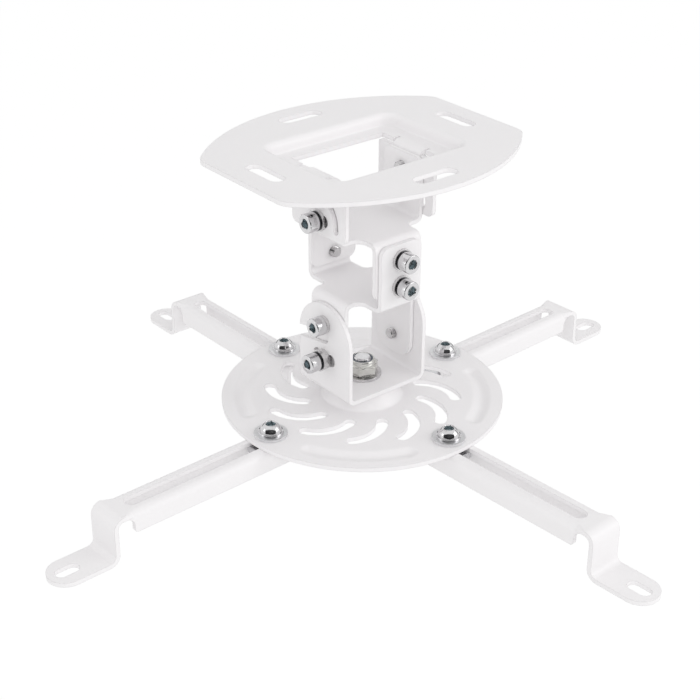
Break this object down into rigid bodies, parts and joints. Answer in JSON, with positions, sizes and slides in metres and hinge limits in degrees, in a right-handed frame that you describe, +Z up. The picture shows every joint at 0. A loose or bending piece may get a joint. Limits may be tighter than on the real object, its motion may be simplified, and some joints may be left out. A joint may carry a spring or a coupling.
{
  "type": "projector ceiling mount",
  "caption": "Universal projector ceiling mount: slotted ceiling plate, crossed tilt brackets, swivel yoke, spider disc and sliding slotted arms, white powder-coated steel with zinc screws.",
  "frame": {"origin": "centre of the ceiling plate's top face, which lies against the ceiling", "axes": "+Z up into the ceiling; X along the two tilt hinges; Y along the roll hinge"},
  "size_m": [0.3367, 0.3326, 0.1429],
  "materials": {
    "powder_coated_sheet": "satin",
    "zinc_screw": "polished",
    "zinc_nut": "polished",
    "zinc_washer": "satin",
    "zinc_nut_plate": "satin",
    "nylon_insert": "matte"
  },
  "bodies": {
    "ceiling_body": {"ceiling_plate": "powder_coated_sheet"},
    "upper_bracket_body": {"upper_cross_bracket": "powder_coated_sheet", "ceiling_tilt_flat_washers": "zinc_washer", "ceiling_tilt_lock_screw_a": "zinc_screw", "ceiling_tilt_lock_screw_b": "zinc_screw", "ceiling_tilt_pivot_screw_a": "zinc_screw", "ceiling_tilt_pivot_screw_b": "zinc_screw", "ceiling_tilt_spring_washers": "zinc_washer", "roll_flat_washers": "zinc_washer", "roll_lock_screw_a": "zinc_screw", "roll_lock_screw_b": "zinc_screw", "roll_pivot_screw_a": "zinc_screw", "roll_pivot_screw_b": "zinc_screw", "roll_spring_washers": "zinc_washer"},
    "lower_bracket_body": {"lower_cross_bracket": "powder_coated_sheet", "yoke_tilt_collars": "zinc_washer", "yoke_tilt_flat_washers": "zinc_washer", "yoke_tilt_lock_screw_a": "zinc_screw", "yoke_tilt_lock_screw_b": "zinc_screw", "yoke_tilt_pivot_screw_a": "zinc_screw", "yoke_tilt_pivot_screw_b": "zinc_screw", "yoke_tilt_spacers": "zinc_washer", "yoke_tilt_spring_washers": "zinc_washer"},
    "yoke_body": {"yoke_bracket": "powder_coated_sheet", "swivel_washer": "zinc_washer", "swivel_nut": "zinc_nut", "nut_insert_ring": "nylon_insert", "swivel_bolt": "zinc_screw"},
    "disc_body": {"spider_disc": "powder_coated_sheet"},
    "arm_clamp_1": {"arm_screw_1": "zinc_screw", "arm_washer_1": "zinc_washer", "nut_plate_1": "zinc_nut_plate"},
    "arm_body_1": {"arm_1": "powder_coated_sheet"},
    "arm_clamp_2": {"arm_screw_2": "zinc_screw", "arm_washer_2": "zinc_washer", "nut_plate_2": "zinc_nut_plate"},
    "arm_body_2": {"arm_2": "powder_coated_sheet"},
    "arm_clamp_3": {"arm_screw_3": "zinc_screw", "arm_washer_3": "zinc_washer", "nut_plate_3": "zinc_nut_plate"},
    "arm_body_3": {"arm_3": "powder_coated_sheet"},
    "arm_clamp_4": {"arm_screw_4": "zinc_screw", "arm_washer_4": "zinc_washer", "nut_plate_4": "zinc_nut_plate"},
    "arm_body_4": {"arm_4": "powder_coated_sheet"}
  },
  "joints": [
    {"name": "ceiling_tilt", "type": "hinge", "parent": "ceiling_body", "child": "upper_bracket_body", "pos_m": [0, 0, -0.0146], "axis": [1, 0, 0], "range_deg": [-15, 15]},
    {"name": "roll", "type": "hinge", "parent": "upper_bracket_body", "child": "lower_bracket_body", "pos_m": [0, 0, -0.0562], "axis": [0, 1, 0], "range_deg": [-8, 8]},
    {"name": "yoke_tilt", "type": "hinge", "parent": "lower_bracket_body", "child": "yoke_body", "pos_m": [0, 0, -0.0776], "axis": [1, 0, 0], "range_deg": [-15, 15]},
    {"name": "disc_swivel", "type": "hinge", "parent": "yoke_body", "child": "disc_body", "pos_m": [0, 0, -0.1119], "axis": [0, 0, 1], "continuous": true},
    {"name": "arm_swing_1", "type": "hinge", "parent": "disc_body", "child": "arm_clamp_1", "pos_m": [0.05448, 0.00362, -0.1196], "axis": [0, 0, 1], "range_deg": [-39, 41]},
    {"name": "arm_slide_1", "type": "slide", "parent": "arm_clamp_1", "child": "arm_body_1", "axis": [-0.9988, -0.0488, 0], "range_m": [0, 0.032]},
    {"name": "arm_swing_2", "type": "hinge", "parent": "disc_body", "child": "arm_clamp_2", "pos_m": [-0.00362, 0.05448, -0.1196], "axis": [0, 0, 1], "range_deg": [-37.6, 42.4]},
    {"name": "arm_slide_2", "type": "slide", "parent": "arm_clamp_2", "child": "arm_body_2", "axis": [0.0244, -0.9997, 0], "range_m": [-0.004, 0.028]},
    {"name": "arm_swing_3", "type": "hinge", "parent": "disc_body", "child": "arm_clamp_3", "pos_m": [-0.05448, -0.00362, -0.1196], "axis": [0, 0, 1], "range_deg": [-38.8, 41.2]},
    {"name": "arm_slide_3", "type": "slide", "parent": "arm_clamp_3", "child": "arm_body_3", "axis": [0.999, 0.0454, 0], "range_m": [0, 0.032]},
    {"name": "arm_swing_4", "type": "hinge", "parent": "disc_body", "child": "arm_clamp_4", "pos_m": [0.00362, -0.05448, -0.1196], "axis": [0, 0, 1], "range_deg": [-40, 40]},
    {"name": "arm_slide_4", "type": "slide", "parent": "arm_clamp_4", "child": "arm_body_4", "axis": [-0.0663, 0.9978, 0], "range_m": [0, 0.032]}
  ]
}
